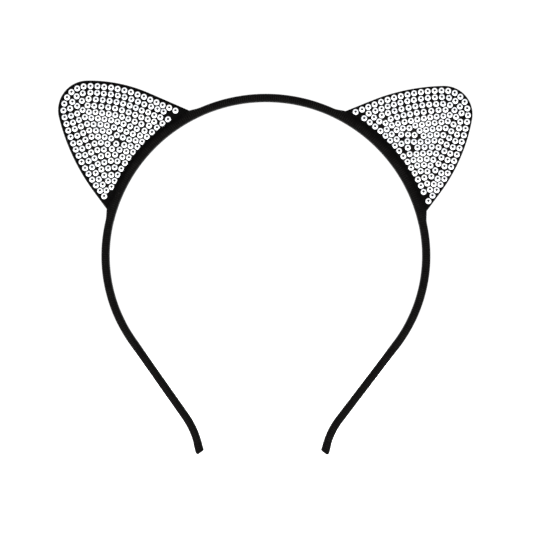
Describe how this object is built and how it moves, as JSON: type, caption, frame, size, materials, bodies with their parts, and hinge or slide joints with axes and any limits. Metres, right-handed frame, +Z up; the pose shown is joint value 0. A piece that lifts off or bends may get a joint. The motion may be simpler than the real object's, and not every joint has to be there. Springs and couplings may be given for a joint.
{
  "type": "animal ears headband",
  "caption": "Thin ribbon-covered headband with two upright cat ears set with clear stones; it springs open to grip the head.",
  "frame": {"origin": "centre of the crown's circle, in the middle of the head opening, half way from front to back", "axes": "+X to the right as seen from the front, +Z up, and the front, with the stones, faces -Y"},
  "size_m": [0.1745, 0.0052, 0.157],
  "materials": {
    "ribbon": "black satin ribbon, fine cross ribs, soft sheen",
    "core": "moulded plastic spring strip",
    "ear_felt": "stiff pressed felt",
    "ear_cloth": "black woven cloth, matte",
    "wire": "drawn steel wire",
    "glue": "hot-melt glue",
    "stones": "clear foil-backed flat-back stones"
  },
  "bodies": {
    "crown": {"band_core": "core", "crown_cover": "ribbon", "left_ear_board": "ear_felt", "left_ear_front_cloth": "ear_cloth", "left_ear_back_cloth": "ear_cloth", "left_ear_wire": "wire", "left_ear_hem": "ear_cloth", "left_ear_glue_line": "glue", "left_ear_binding": "ribbon", "left_ear_stones_edge": "stones", "left_ear_stones_foot": "stones", "left_ear_stones_field": "stones", "right_ear_board": "ear_felt", "right_ear_front_cloth": "ear_cloth", "right_ear_back_cloth": "ear_cloth", "right_ear_wire": "wire", "right_ear_hem": "ear_cloth", "right_ear_glue_line": "glue", "right_ear_binding": "ribbon", "right_ear_stones_edge": "stones", "right_ear_stones_foot": "stones", "right_ear_stones_field": "stones"},
    "left_leg": {"left_leg_cover": "ribbon", "left_tip_fold": "ribbon"},
    "right_leg": {"right_leg_cover": "ribbon", "right_tip_fold": "ribbon"}
  },
  "joints": [
    {"name": "left_leg_spread", "type": "hinge", "parent": "crown", "child": "left_leg", "pos_m": [-0.06786, 0, 0.01442], "axis": [0, 1, 0], "range_deg": [-4, 24], "stiffness_Nm_per_rad": 0.3, "deforming": ["band_core"]},
    {"name": "right_leg_spread", "type": "hinge", "parent": "crown", "child": "right_leg", "pos_m": [0.06786, 0, 0.01442], "axis": [0, -1, 0], "range_deg": [-4, 24], "stiffness_Nm_per_rad": 0.3, "deforming": ["band_core"]}
  ]
}
